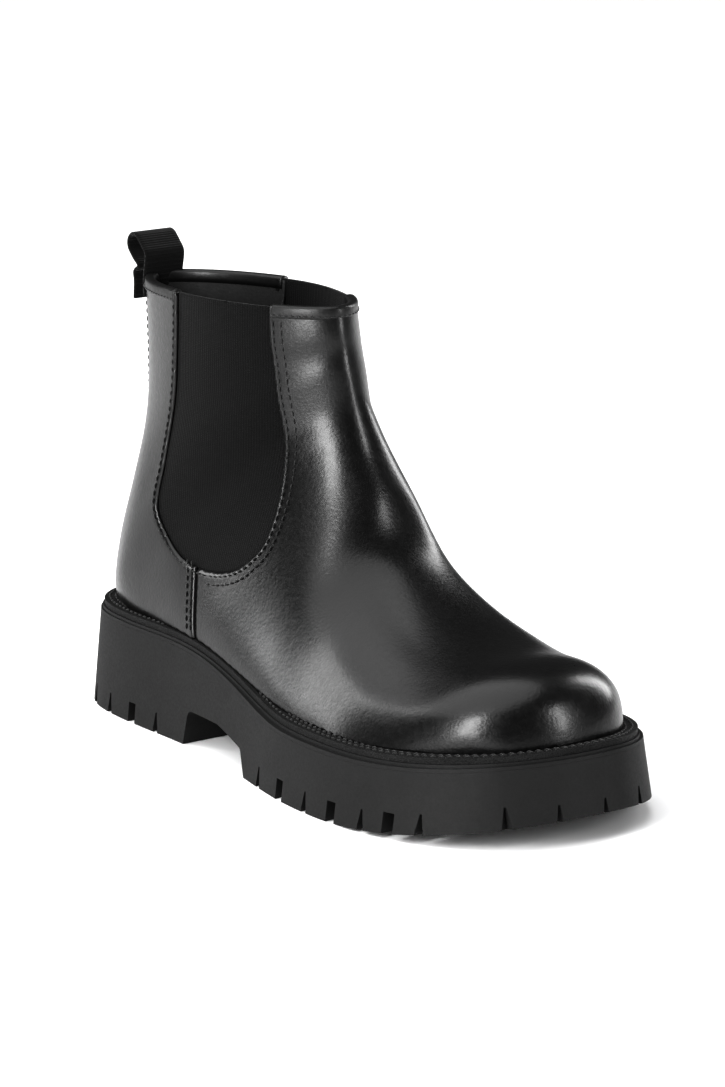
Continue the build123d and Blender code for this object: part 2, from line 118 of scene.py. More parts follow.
def evenly(line, gap):
    run = np.r_[0, np.cumsum(np.linalg.norm(np.diff(line, axis=0), axis=1))]
    count = max(int(run[-1] / gap), 2)
    at = np.linspace(0, run[-1], count)
    return np.stack([np.interp(at, run, line[:, k]) for k in range(line.shape[1])], 1)


def lastGrid():
    # rows of the table, with more between the sections that lie further apart
    knotCount, fineSteps = upper["knots"], upper["fineSteps"]
    ends = np.stack([lastRows[:, 0], lastRows[:, 1], lastRows[:, 3], lastRows[:, 4]], 1)
    step = np.diff(ends, axis=0)
    gap = np.maximum(np.hypot(step[:, 0], step[:, 1]), np.hypot(step[:, 2], step[:, 3]))
    padded = np.vstack([lastRows[0], lastRows, lastRows[-1]])
    rows = []
    for i in range(len(lastRows) - 1):
        count = max(int(round(gap[i] / upper["step"])), 4)
        a, b, c, d = padded[i:i + 4]
        for t in np.arange(count) / count:
            rows.append(b + 0.5 * t * (c - a + t * (2 * a - 5 * b + 4 * c - d + t * (3 * (b - c) + d - a))))
    rows.append(lastRows[-1])
    rows = np.array(rows)
    for _ in range(upper["rowSmoothing"]):
        rows[1:-1] = (rows[:-2] + 2 * rows[1:-1] + rows[2:]) / 4
    top = np.stack([rows[:, 0], seat(rows[:, 0]) + rows[:, 1]], 1)
    end = np.stack([rows[:, 3], seat(rows[:, 3]) + rows[:, 4]], 1)
    centre = top + (end - top) * rows[:, 5:6]
    turn = 2 * math.pi * np.arange(knotCount) / knotCount
    c, s = np.cos(turn), np.sin(turn)
    full = np.where(c[None] > 1e-9, np.where(s[None] > 0, rows[:, 10:11], rows[:, 9:10]), rows[:, 11:12])
    power = 2 / full
    share = np.abs(c)[None] ** power
    goal = np.where((c > 0)[None, :, None], top[:, None], end[:, None])
    axis = centre[:, None] + (goal - centre[:, None]) * share[..., None]
    side = np.where((c > 0)[None], rows[:, 2:3], 0)
    lineY = rows[:, 6:7] + (side - rows[:, 6:7]) * share
    width = np.where((s > 0)[None], rows[:, 8:9], rows[:, 7:8])
    y = lineY + np.sign(s)[None] * width * np.abs(s)[None] ** power
    knots = np.stack([axis[..., 0], y, axis[..., 1]], -1)
    # closed cubic curve through the knots of each section
    unit = np.eye(knotCount)
    m = 4 * unit + np.roll(unit, 1, 1) + np.roll(unit, -1, 1)
    slope = np.einsum("ij,njk->nik", np.linalg.inv(m), 3 * (np.roll(knots, -1, 1) - np.roll(knots, 1, 1)))
    fine = []
    for i in range(knotCount):
        k = (i + 1) % knotCount
        p0, p1, d0, d1 = knots[:, i], knots[:, k], slope[:, i], slope[:, k]
        for t in np.arange(fineSteps) / fineSteps:
            h = 2 * t ** 3 - 3 * t ** 2 + 1
            fine.append(h * p0 + (1 - h) * p1 + (t ** 3 - 2 * t ** 2 + t) * d0 + (t ** 3 - t ** 2) * d1)
    fine = np.stack(fine, 1)
    fine = np.concatenate([fine, fine[:, :1]], 1)
    half = upper["around"] // 2
    halfFine = knotCount * fineSteps // 2
    grid = np.zeros((len(rows), upper["around"], 3))
    for n, section in enumerate(fine):
        for part in (0, 1):
            run = section[part * halfFine:(part + 1) * halfFine + 1]
            length = np.r_[0, np.cumsum(np.linalg.norm(np.diff(run, axis=0), axis=1))]
            at = np.linspace(0, length[-1], half + 1)[:-1]
            for k in range(3):
                grid[n, part * half:(part + 1) * half, k] = np.interp(at, length, run[:, k])
    for _ in range(upper["loopSmoothing"]):
        grid = (np.roll(grid, 1, 1) + 2 * grid + np.roll(grid, -1, 1)) / 4
    return grid


def normalsOf(grid):
    along = np.gradient(grid, axis=0)
    around = np.roll(grid, -1, 1) - np.roll(grid, 1, 1)
    n = np.cross(along, around)
    n /= np.linalg.norm(n, axis=-1, keepdims=True) + 1e-12
    middle = grid.mean(1, keepdims=True)
    if np.mean(np.sum(n * (grid - middle), -1)) < 0:
        n = -n
    return n


skin = lastGrid()
skinNormals = normalsOf(skin)
print("last", skin.shape)

quads = []
skinRows, skinCols = skin.shape[:2]
for i in range(skinRows - 1):
    for j in range(skinCols):
        k = (j + 1) % skinCols
        low, high = i * skinCols, (i + 1) * skinCols
        quads.append((low + j, low + k, high + k, high + j))
quads = np.array(quads)
flatSkin = skin.reshape(-1, 3)
flatNormals = skinNormals.reshape(-1, 3)
skinTree = BVHTree.FromPolygons([Vector(p) for p in flatSkin], quads.tolist())
farSide = 200.0  # a place well outside the boot, to look at the skin from


def onSkin(origin, direction):
    # place and smooth outward normal where a line first meets the skin
    hit, _, face, _ = skinTree.ray_cast(Vector(origin), Vector(direction))
    if hit is None:
        return None
    corners = quads[face]
    away = np.linalg.norm(flatSkin[corners] - np.array(hit), axis=1) + 1e-6
    n = (flatNormals[corners] / away[:, None]).sum(0)
    return np.array(hit), n / np.linalg.norm(n)


def fromSide(x, z, side):
    return onSkin((x, side * farSide, z), (0, -side, 0))


def fromBehind(y, z):
    return onSkin((-farSide, y, z), (1, 0, 0))


gore = curveThrough(goreEdge, 14)


def goreDistance(x, z):
    # distance in the side view to the edge of the gore, positive inside it
    px, pz = x.ravel(), z.ravel()
    best = np.full(len(px), 1e9)
    inside = np.zeros(len(px), bool)
    for (ax, az), (bx, bz) in zip(gore, np.roll(gore, -1, 0)):
        dx, dz = bx - ax, bz - az
        t = np.clip(((px - ax) * dx + (pz - az) * dz) / (dx * dx + dz * dz), 0, 1)
        best = np.minimum(best, np.hypot(px - ax - t * dx, pz - az - t * dz))
        crosses = (az > pz) != (bz > pz)
        at = ax + (pz - az) * dx / (dz if abs(dz) > 1e-9 else 1e-9)
        inside ^= crosses & (px < at)
    return np.where(inside, best, -best).reshape(x.shape)


def seamStation(z):
    (topX, topZ), (footX, footZ) = upper["seamTop"], upper["seamFoot"]
    t = np.clip((topZ - z) / (topZ - footZ), -0.2, 1.3)
    return topX + (footX - topX) * t


skinX, skinZ = skin[..., 0], skin[..., 2]
fieldWelt = seat(skinX) + upper["weltTop"] - 0.4 - skinZ
fieldCollar = skinZ - collar(skinX)
fieldGore = goreDistance(skinX, skinZ)
behindSeam = seamStation(skinZ) - skinX
print("fields")


def finishMesh(name, points, faces):
    mesh = bpy.data.meshes.new(name)
    mesh.from_pydata((np.asarray(points) * mm).tolist(), [], [tuple(int(v) for v in f) for f in faces])
    mesh.validate()
    obj = bpy.data.objects.new(name, mesh)
    bpy.context.scene.collection.objects.link(obj)
    mesh.polygons.foreach_set("use_smooth", [True] * len(mesh.polygons))
    return obj


def applied(obj, kind, **settings):
    bpy.ops.object.select_all(action="DESELECT")
    bpy.context.view_layer.objects.active = obj
    obj.select_set(True)
    modifier = obj.modifiers.new("work", kind)
    for key, value in settings.items():
        setattr(modifier, key, value)
    bpy.ops.object.modifier_apply(modifier="work")
    obj.select_set(False)
    return obj


def outwards(obj):
    bpy.ops.object.select_all(action="DESELECT")
    bpy.context.view_layer.objects.active = obj
    obj.select_set(True)
    bpy.ops.object.mode_set(mode="EDIT")
    bpy.ops.mesh.select_all(action="SELECT")
    bpy.ops.mesh.normals_make_consistent(inside=False)
    bpy.ops.object.mode_set(mode="OBJECT")
    obj.select_set(False)
    return obj


def skinPiece(name, field, lift, thickness, rim=0):
    # the part of the skin where the field is under zero, cut cleanly along its edge
    rows, cols = field.shape
    gi = np.gradient(field, axis=0)
    gj = (np.roll(field, -1, 1) - np.roll(field, 1, 1)) / 2
    corner = [field[:-1], np.roll(field, -1, 1)[:-1], np.roll(field, -1, 1)[1:], field[1:]]
    keep = (sum(corner) / 4) < 0
    inner = np.zeros((rows, cols), int)
    total = np.zeros((rows, cols), int)
    for di in (0, 1):
        for dj in (0, 1):
            sl = slice(di, rows - 1 + di)
            inner[sl] += np.roll(keep.astype(int), dj, 1)
            total[sl] += 1
    used = inner > 0
    border = used & ((inner < total) | (total < 4))
    place = skin + skinNormals * lift[..., None]
    bi, bj = np.nonzero(border)
    fi, fj = bi.astype(float), bj.astype(float)

    def sample(table, u, v):
        u = np.clip(u, 0, rows - 1.001)
        i0 = np.floor(u).astype(int)
        j0 = np.floor(v).astype(int)
        a, b = u - i0, v - j0
        if table.ndim == 3:
            a, b = a[:, None], b[:, None]
        j0, j1 = j0 % cols, (j0 + 1) % cols
        low = table[i0, j0] * (1 - b) + table[i0, j1] * b
        high = table[i0 + 1, j0] * (1 - b) + table[i0 + 1, j1] * b
        return low * (1 - a) + high * a

    for _ in range(3):
        f = sample(field, fi, fj)
        a, b = sample(gi, fi, fj), sample(gj, fi, fj)
        size = a * a + b * b + 1e-9
        fi = np.clip(fi - f * a / size * 0.9, bi - 1.0, bi + 1.0)
        fj = np.clip(fj - f * b / size * 0.9, bj - 1.0, bj + 1.0)
    place[bi, bj] = sample(place, fi, fj)
    number = -np.ones((rows, cols), int)
    number[used] = np.arange(used.sum())
    ki, kj = np.nonzero(keep)
    nj = (kj + 1) % cols
    faces = np.stack([number[ki, kj], number[ki, nj], number[ki + 1, nj], number[ki + 1, kj]], 1)
    obj = finishMesh(name, place[used], faces)
    mesh = obj.data
    test = mesh.polygons[len(mesh.polygons) // 2]
    spot = onSkinNormal(np.array(test.center) / mm)
    if np.dot(np.array(test.normal), spot) < 0:
        mesh.flip_normals()
    applied(obj, "SOLIDIFY", thickness=thickness * mm, offset=-1.0, use_even_offset=False,
            use_rim=True, material_offset_rim=rim)
    return obj


def onSkinNormal(point):
    hit, _, face, _ = skinTree.find_nearest(Vector(point))
    return flatNormals[quads[face]].mean(0)


def edgeRounding(field):
    depth = np.clip(-field / upper["edgeRound"], 0, 1)
    return -upper["edgeDrop"] * (1 - depth) ** 2


# Slow swells of worn leather, so that the light breaks up a little
def swell(scale, size):
    total = np.zeros(skin.shape[:2])
    for _ in range(7):
        direction = random.normal(size=3)
        direction /= np.linalg.norm(direction)
        pitch = scale * random.uniform(0.7, 1.4)
        total += np.sin(skin @ direction * 2 * math.pi / pitch + random.uniform(0, 6.28))
    return total / 7 * size


softness = swell(46.0, 0.2) + swell(21.0, 0.03)
vampEdge = np.maximum(fieldGore, behindSeam - upper["tuck"])
dive = -upper["dive"] * ease((behindSeam + 1.2) / 2.4)
vampField = np.maximum.reduce([vampEdge, fieldWelt, fieldCollar])
vampLift = edgeRounding(fieldGore) + softness + dive
vampSkin = skinPiece("vampSkin", vampField, vampLift, upper["leather"], rim=1)

quarterEdge = np.maximum(fieldGore, -behindSeam)
quarterField = np.maximum.reduce([quarterEdge, fieldWelt, fieldCollar])
onTop = upper["overlap"] * ease(1 - np.clip((behindSeam - 10) / upper["overlapFade"], 0, 1))
quarterLift = edgeRounding(quarterEdge) + softness + onTop
quarterSkin = skinPiece("quarterSkin", quarterField, quarterLift, upper["leather"], rim=1)
print("leather")

# Lining, set deeper below the stiffeners and close to the leather at the top
lining = {
    "deep": -3.25, "shallow": -2.0, "thickness": 1.0, "rise": 16.0, "belowCollar": 0.6, "aboveSeat": 5.0,
}
nearTop = ease(1 + fieldCollar / lining["rise"])
liningLift = lining["deep"] + (lining["shallow"] - lining["deep"]) * nearTop
liningFoot = seat(skinX) + lining["aboveSeat"] - skinZ
liningField = np.maximum.reduce([fieldGore - 1.0, fieldCollar + lining["belowCollar"], liningFoot])
liningSkin = skinPiece("lining", liningField, liningLift, lining["thickness"])

# Elastic gores, under the leather edge
elastic = {"depth": -1.15, "thickness": 1.5, "under": 4.5, "ribs": 0.03, "ribStep": 2.4}
gores = []
for side, name, node in ((-1, "goreLateral", "gore_lateral"), (1, "goreMedial", "gore_medial")):
    ribs = elastic["ribs"] * np.cos(skinX * 2 * math.pi / elastic["ribStep"])
    otherSide = 6 - skin[..., 1] * side
    goreField = np.maximum.reduce([-fieldGore - elastic["under"], fieldCollar + 0.2, otherSide])
    tucked = -0.7 * ease((-fieldGore + 0.5) / 3.0)
    piece = skinPiece(name, goreField, elastic["depth"] + ribs + tucked, elastic["thickness"])
    gores.append(piece)
    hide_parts(node)
print("gores")


def collarPath():
    # the line where the skin meets the collar height, round the shaft
    line, out = [], []
    for j in range(skin.shape[1]):
        f = fieldCollar[:, j]
        i = int(np.nonzero((f[:-1] > 0) & (f[1:] <= 0))[0][0])
        t = f[i] / (f[i] - f[i + 1])
        line.append(skin[i, j] * (1 - t) + skin[i + 1, j] * t)
        out.append(skinNormals[i, j] * (1 - t) + skinNormals[i + 1, j] * t)
    return np.array(line), np.array(out)


def swept(name, line, sideways, upwards, profile):
    # a closed profile of (across, up) points carried along a line
    count, ring = len(line), len(profile)
    points = []
    for p, a, b in zip(line, sideways, upwards):
        points += [p + a * u + b * v for u, v in profile]
    faces = []
    for i in range(count - 1):
        low, high = i * ring, (i + 1) * ring
        for j in range(ring):
            k = (j + 1) % ring
            faces.append((low + j, low + k, high + k, high + j))
    faces.append(tuple(range(ring)))
    faces.append(tuple((count - 1) * ring + j for j in reversed(range(ring))))
    return outwards(finishMesh(name, points, faces))


# Binding over the collar, its profile given outwards from the skin and up from the collar line
binding = {
    "gap": 0.4, "stitchOut": 0.62, "stitchLow": -3.1,
    "profile": [
        (0.1, -4.35), (0.5, -4.1), (0.68, -3.2), (0.62, -1.8), (0.55, -0.5), (0.3, 0.25), (-0.4, 0.7),
        (-1.5, 0.85), (-2.6, 0.7), (-3.3, 0.2), (-3.55, -0.6), (-3.6, -2.4), (-3.5, -4.1), (-3.2, -4.35),
    ],
}
rimLine, rimOut = collarPath()
rimOut[:, 2] = 0
rimOut /= np.linalg.norm(rimOut, axis=1, keepdims=True)
goreTop = gore[gore[:, 1] > 170][:, 0]
frontMask = rimLine[:, 0] > goreTop.max() + binding["gap"]
rearMask = rimLine[:, 0] < goreTop.min() - binding["gap"]


def arc(mask):
    # the run of the collar where the mask holds, in order
    start = int(np.nonzero(mask & ~np.roll(mask, 1))[0][0])
    order = [(start + k) % len(mask) for k in range(int(mask.sum()))]
    return np.array(order)


up = np.array([0.0, 0.0, 1.0])
rims = []
for name, mask, node in (("bindingFront", frontMask, "collar_binding_front"),
                         ("bindingRear", rearMask, "collar_binding_rear")):
    order = arc(mask)
    piece = swept(name, rimLine[order], rimOut[order], [up] * len(order), binding["profile"])
    rims.append(piece)
    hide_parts(node)
print("binding")

# Strip over the back seam
strip = {
    "width": 17.0, "cols": 17, "rows": 110, "lift": 1.15, "edge": 2.2, "edgeDrop": 0.95, "thickness": 1.4,
    "backX": -140.0, "topX": -134.0, "aboveSeat": 2.1, "belowCollar": 2.0, "groove": 0.06,
    "grooveIn": 2.4, "grooveHalf": 1.4, "stitchIn": 1.9,
}
stripLow = float(seat(strip["backX"])) + strip["aboveSeat"]
stripHigh = collar(strip["topX"]) - strip["belowCollar"]
stripPoints = []
for r in range(strip["rows"]):
    for c in range(strip["cols"]):
        across = (c / (strip["cols"] - 1) - 0.5) * strip["width"]
        z = stripLow + (stripHigh - stripLow) * r / (strip["rows"] - 1)
        hit, n = fromBehind(across, z)
        edge = strip["width"] / 2 - abs(across)
        lift = strip["lift"] - strip["edgeDrop"] * (1 - min(edge / strip["edge"], 1)) ** 2
        grooveAt = min(max(edge - strip["grooveIn"], -strip["grooveHalf"]), strip["grooveHalf"])
        lift += strip["groove"] * math.cos(grooveAt * math.pi / strip["grooveHalf"])
        stripPoints.append(hit + n * lift)
stripFaces = []
for r in range(strip["rows"] - 1):
    for c in range(strip["cols"] - 1):
        a = r * strip["cols"] + c
        stripFaces.append((a, a + 1, a + 1 + strip["cols"], a + strip["cols"]))
backStrip = finishMesh("backStrip", stripPoints, stripFaces)
if backStrip.data.polygons[40].normal.x > 0:
    backStrip.data.flip_normals()
applied(backStrip, "SOLIDIFY", thickness=strip["thickness"] * mm, offset=-1.0, use_rim=True)
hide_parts("back_strip_lower", "back_strip_upper")
print("strip")

# Stitches: one small thread shape, copied along each row
stitch = {
    "length": 2.3, "gap": 0.9, "radius": 0.34, "raise": 0.16, "sides": 6,
    # along the stitch, share of the radius, and how far it rises out of the leather
    "rings": [(-0.5, 0.25, -0.55), (-0.36, 0.8, -0.1), (-0.12, 1.0, 0.18),
              (0.12, 1.0, 0.18), (0.36, 0.8, -0.1), (0.5, 0.25, -0.55)],
}


def stitchRow(points, normals, pieces, length=None, radius=None):
    length = length or stitch["length"]
    radius = radius or stitch["radius"]
    run = np.r_[0, np.cumsum(np.linalg.norm(np.diff(points, axis=0), axis=1))]
    pitch = length + stitch["gap"]

    def at(values, s):
        return np.array([np.interp(s, run, values[:, k]) for k in range(3)])

    for s in np.arange(pitch / 2, run[-1], pitch):
        along = at(points, min(s + 0.4, run[-1])) - at(points, max(s - 0.4, 0))
        along = along / (np.linalg.norm(along) + 1e-9)
        n = at(normals, s)
        n = n - along * np.dot(n, along)
        n /= np.linalg.norm(n)
        side = np.cross(along, n)
        pieces.append((at(points, s) + n * stitch["raise"], along, side, n, length, radius))


def stitchMesh(name, pieces):
    rings, sides = stitch["rings"], stitch["sides"]
    last = (len(rings) - 1) * sides
    points, faces = [], []
    for p, along, side, n, length, radius in pieces:
        base = len(points)
        for u, r, lift in rings:
            for k in range(sides):
                a = k * 2 * math.pi / sides
                rise = math.sin(a) * r * radius + lift * radius
                points.append(p + along * u * length + side * math.cos(a) * r * radius + n * rise)
        for low in range(base, base + last, sides):
            high = low + sides
            for k in range(sides):
                m = (k + 1) % sides
                faces.append((low + k, low + m, high + m, high + k))
        faces.append(tuple(base + k for k in range(sides)))
        faces.append(tuple(base + last + k for k in reversed(range(sides))))
    return outwards(finishMesh(name, points, faces))


def offsetLine(line, away):
    d = np.gradient(line, axis=0)
    d /= np.linalg.norm(d, axis=1, keepdims=True)
    return line + np.stack([-d[:, 1], d[:, 0]], 1) * away


def lineOnSkin(line, side, lift):
    # the line laid on one side of the upper, kept off the binding and the welt
    points, normals = [], []
    for x, z in line:
        got = fromSide(x, z, side)
        low = seat(x) + upper["weltTop"] + seams["offWelt"]
        if got is None or z > collar(x) - seams["offBinding"] or z < low:
            continue
        points.append(got[0] + got[1] * lift)
        normals.append(got[1])
    return np.array(points), np.array(normals)


seams = {
    "besideGore": (1.9, 5.2), "besideSeam": (2.0, 5.0), "seamHeights": (72.0, 40.0), "goreLow": (-48, 70),
    "vampLift": 0.05, "quarterLift": 0.35, "seamLift": 0.72, "stripLift": 1.05, "offBinding": 4.6,
    "offWelt": 0.5, "tabX": -137.25, "tabHeights": (165.5, 170.5), "tabHalf": 8.0,
}
probe = offsetLine(gore, 1.0)[20:21]
sign = -1.0 if goreDistance(probe[:, 0], probe[:, 1])[0] > 0 else 1.0
goreFine = evenly(gore, 1.0)
lowX, lowZ = seams["goreLow"]
vampEnd = int(np.argmin(np.hypot(goreFine[:, 0] - lowX, goreFine[:, 1] - lowZ))) + 6
seamZ = np.linspace(*seams["seamHeights"], 40)
upperThreads = []
for side in (-1, 1):
    for away in seams["besideGore"]:
        path = evenly(offsetLine(goreFine, sign * away)[:vampEnd], 1.0)
        stitchRow(*lineOnSkin(path, side, seams["vampLift"]), upperThreads)
    path = offsetLine(goreFine, sign * seams["besideGore"][0])[vampEnd:]
    stitchRow(*lineOnSkin(path, side, seams["quarterLift"]), upperThreads)
    for away in seams["besideSeam"]:
        path = np.stack([seamStation(seamZ) - away, seamZ], 1)
        stitchRow(*lineOnSkin(path, side, seams["seamLift"]), upperThreads)
for mask in (frontMask, rearMask):
    order = arc(mask)
    points = rimLine[order] + rimOut[order] * binding["stitchOut"] + up * binding["stitchLow"]
    stitchRow(points, rimOut[order], upperThreads, length=1.9, radius=0.28)
for across in (-strip["width"] / 2 + strip["stitchIn"], strip["width"] / 2 - strip["stitchIn"]):
    points, normals = [], []
    for z in np.arange(seat(strip["backX"]) + 4.0, collar(strip["topX"]) - 6.0, 2.0):
        hit, n = fromBehind(across, z)
        points.append(hit + n * seams["stripLift"])
        normals.append(n)
    stitchRow(np.array(points), np.array(normals), upperThreads)
for z in seams["tabHeights"]:
    points = np.array([(seams["tabX"], y, z) for y in np.linspace(-seams["tabHalf"], seams["tabHalf"], 12)])
    backwards = np.tile(np.array([-1.0, 0, 0]), (len(points), 1))
    stitchRow(points, backwards, upperThreads, length=1.9, radius=0.3)
upperStitching = stitchMesh("upperStitching", upperThreads)
print("stitches", len(upperThreads))

# Footbed inside, a little dished
bed = {
    "height": 8.9, "rows": 70, "cols": 18, "dish": 1.4, "thickness": 3.6, "back": -133.0, "front": 118.0,
    "inside": 4.3,
}
bedPoints = []
for r in range(bed["rows"]):
    x = bed["back"] + (bed["front"] - bed["back"]) * r / (bed["rows"] - 1)
    z = float(seat(x)) + bed["height"]
    walls = []
    for side in (-1, 1):
        got = fromSide(x, z, side)
        walls.append(got[0][1] if got else 0.0)
    for c in range(bed["cols"]):
        t = c / (bed["cols"] - 1)
        y = (walls[0] + bed["inside"]) * (1 - t) + (walls[1] - bed["inside"]) * t
        bedPoints.append((x, y, z - bed["dish"] * math.sin(math.pi * t) ** 0.8 + bed["dish"] * 0.6))
bedFaces = []
for r in range(bed["rows"] - 1):
    for c in range(bed["cols"] - 1):
        a = r * bed["cols"] + c
        bedFaces.append((a, a + bed["cols"], a + bed["cols"] + 1, a + 1))
footbedPiece = finishMesh("footbedPiece", bedPoints, bedFaces)
if footbedPiece.data.polygons[30].normal.z < 0:
    footbedPiece.data.flip_normals()
applied(footbedPiece, "SOLIDIFY", thickness=bed["thickness"] * mm, offset=-1.0, use_rim=True)
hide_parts("footbed")

# Pull tab: webbing loop, both ends sewn into the collar
tabValues = {
    "width": 19.0, "thickness": 1.5, "lean": 45.0, "inner": 3.4, "length": 8.0, "pivot": (-130.9, 180.69),
    # where the two ends run down inside and outside the collar: behind the pivot, height
    "innerEnd": [(1.6, 166.0), (1.4, 171.0), (1.7, 175.5)],
    "outerEnd": [(-5.6, 175.2), (-5.2, 171.0), (-5.6, 164.0)],
}
tabX, tabZ = tabValues["pivot"]
lean = math.radians(tabValues["lean"])
axisUp = np.array([-math.sin(lean), 0, math.cos(lean)])
axisOut = np.array([math.cos(lean), 0, math.sin(lean)])
middleRadius = tabValues["inner"] + tabValues["thickness"] / 2
pivot = np.array([tabX, 0, tabZ])
centreLine = [np.array([tabX + x, 0, z]) for x, z in tabValues["innerEnd"]]
centreLine.append(pivot + axisOut * middleRadius * 0.85 + axisUp * -0.5)
centreLine.append(pivot + axisOut * middleRadius + axisUp * tabValues["length"] * 0.5)
for k in range(0, 9):
    a = k * math.pi / 8
    rise = tabValues["length"] + math.sin(a) * middleRadius
    centreLine.append(pivot + axisUp * rise + axisOut * math.cos(a) * middleRadius)
centreLine.append(pivot - axisOut * middleRadius + axisUp * tabValues["length"] * 0.5)
centreLine.append(pivot - axisOut * middleRadius * 0.95 + axisUp * -0.3)
centreLine += [np.array([tabX + x, 0, z]) for x, z in tabValues["outerEnd"]]
centreLine = evenly(curveThrough(centreLine, 8), 0.8)
step = np.gradient(centreLine, axis=0)
step /= np.linalg.norm(step, axis=1, keepdims=True)
outward = np.stack([step[:, 2], np.zeros(len(step)), -step[:, 0]], 1)
half = tabValues["width"] / 2
thick = tabValues["thickness"] / 2
tabProfile = []
for y in np.linspace(-half + 0.5, half - 0.5, 14):
    tabProfile.append((thick, y))
tabProfile += [(thick * 0.6, half - 0.1), (0, half), (-thick * 0.6, half - 0.1)]
for y in np.linspace(half - 0.5, -half + 0.5, 14):
    tabProfile.append((-thick, y))
tabProfile += [(-thick * 0.6, -half + 0.1), (0, -half), (thick * 0.6, -half + 0.1)]
pullTab = swept("pullTab", centreLine, outward, [np.array([0, 1.0, 0])] * len(centreLine), tabProfile)
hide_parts("pull_tab")
print("tab")


# Outline of the sole at the ground
outline = {
    # station, outer half width, inner half width
    "rows": ((-147.0, 16.0, 16.0), (-134.5, 32.5, 32.5), (-108.0, 41.0, 40.6), (-60.0, 43.2, 39.8),
             (-15.0, 48.6, 41.0), (30.0, 58.6, 51.5), (70.0, 61.0, 61.0), (106.0, 54.6, 58.6),
             (133.0, 37.8, 44.6), (147.6, 15.6, 25.4)),
    "back": (-150.0, 0.0), "front": (151.0, 6.0), "heelFlare": 0.08, "toeFlare": 0.15, "weltInset": 1.4,
    "threadRows": (2.1, 4.6), "threadHeight": 2.35,
}


def outlineLoop():
    outer = [(x, -lateral) for x, lateral, _ in outline["rows"]]
    inner = [(x, medial) for x, _, medial in reversed(outline["rows"])]
    p = np.array([outline["back"]] + outer + [outline["front"]] + inner, float)
    ring = curveThrough(np.vstack([p[-2:], p, p[:3]]), 20)
    return evenly(ring[40:40 + 20 * len(p) + 1], 1.5)


loop = outlineLoop()
direction = np.gradient(loop, axis=0)
direction /= np.linalg.norm(direction, axis=1, keepdims=True)
inward = np.stack([-direction[:, 1], direction[:, 0]], 1)
if np.mean(np.sum(inward * (loop - loop.mean(0)), 1)) > 0:
    inward = -inward


def mouldedNormals(mesh):
    # the side walls and the top faces shade as the smooth surfaces they are moulded to
    place = np.empty(len(mesh.vertices) * 3)
    mesh.vertices.foreach_get("co", place)
    place = place.reshape(-1, 3) / mm
    corner = np.empty(len(mesh.loops), int)
    mesh.loops.foreach_get("vertex_index", corner)
    flat = np.empty(len(mesh.polygons) * 3)
    mesh.polygons.foreach_get("normal", flat)
    count = np.empty(len(mesh.polygons), int)
    mesh.polygons.foreach_get("loop_total", count)
    face = np.repeat(flat.reshape(-1, 3), count, axis=0)
    near = np.empty(len(place), int)
    for a in range(0, len(place), 4000):
        part = place[a:a + 4000, None, :2] - loop[None]
        near[a:a + 4000] = np.argmin((part ** 2).sum(-1), 1)
    share = (place[:, 0] + upper["soleHalf"]) / (2 * upper["soleHalf"])
    flare = outline["heelFlare"] + (outline["toeFlare"] - outline["heelFlare"]) * share
    wall = np.column_stack([-inward[near], flare])
    wall /= np.linalg.norm(wall, axis=1, keepdims=True)
    slope = (seat(place[:, 0] + 1.0) - seat(place[:, 0] - 1.0)) / 2
    top = np.column_stack([-slope, 0 * slope, 1 + 0 * slope])
    top /= np.linalg.norm(top, axis=1, keepdims=True)
    out = face.copy()
    for goal in (wall[corner], -wall[corner] * [1, 1, -1], top[corner], -top[corner]):
        fits = (face * goal).sum(1) > 0.93
        out[fits] = goal[fits]
    mesh.polygons.foreach_set("use_smooth", [True] * len(mesh.polygons))
    mesh.normals_split_custom_set(out.tolist())


def cleanCopy(node, name):
    # a moulded piece of the sole, merged so that it shades smoothly
    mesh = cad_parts[node].data.copy()
    obj = bpy.data.objects.new(name, mesh)
    bpy.context.scene.collection.objects.link(obj)
    bpy.ops.object.select_all(action="DESELECT")
    bpy.context.view_layer.objects.active = obj
    obj.select_set(True)
    bpy.ops.object.mode_set(mode="EDIT")
    bpy.ops.mesh.select_all(action="SELECT")
    bpy.ops.mesh.remove_doubles(threshold=0.00001)
    bpy.ops.object.mode_set(mode="OBJECT")
    obj.select_set(False)
    mouldedNormals(mesh)
    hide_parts(node)
    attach(obj, "root")
    return obj


soleBody = cleanCopy("outsole", "soleBody")
soleTop = cleanCopy("midsole", "soleTop")
weltBand = cleanCopy("welt", "weltBand")

# Two rows of thread round the welt
weltThreads = []
toeHeight = upper["forefootHeight"] + upper["seatSpring"]
for row in outline["threadRows"]:
    heelInset = outline["heelFlare"] * upper["heelHeight"] + outline["weltInset"] + row
    toeInset = outline["toeFlare"] * toeHeight + outline["weltInset"] + row
    share = (loop[:, :1] + upper["soleHalf"]) / (2 * upper["soleHalf"])
    flat = loop + inward * (heelInset + (toeInset - heelInset) * share)
    points = np.column_stack([flat, seat(flat[:, 0]) + outline["threadHeight"]])
    points = np.vstack([points, points[:1]])
    stitchRow(points, np.tile(up, (len(points), 1)), weltThreads, length=2.5, radius=0.42)
weltThreadPiece = stitchMesh("weltThread", weltThreads)
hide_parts("welt_stitching")
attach(weltThreadPiece, "root")
print("welt", len(weltThreads))


# Finishes
def nodeSetup(name):
    material = bpy.data.materials.new(name)
    material.use_nodes = True
    tree = material.node_tree
    return material, tree.nodes, tree.links, tree.nodes["Principled BSDF"]


def coordinates(nodes, links, scale=(1, 1, 1), turn=(0, 0, 0)):
    where = nodes.new("ShaderNodeTexCoord")
    mapping = nodes.new("ShaderNodeMapping")
    mapping.inputs["Scale"].default_value = scale
    mapping.inputs["Rotation"].default_value = turn
    links.new(where.outputs["Object"], mapping.inputs["Vector"])
    return mapping.outputs["Vector"]


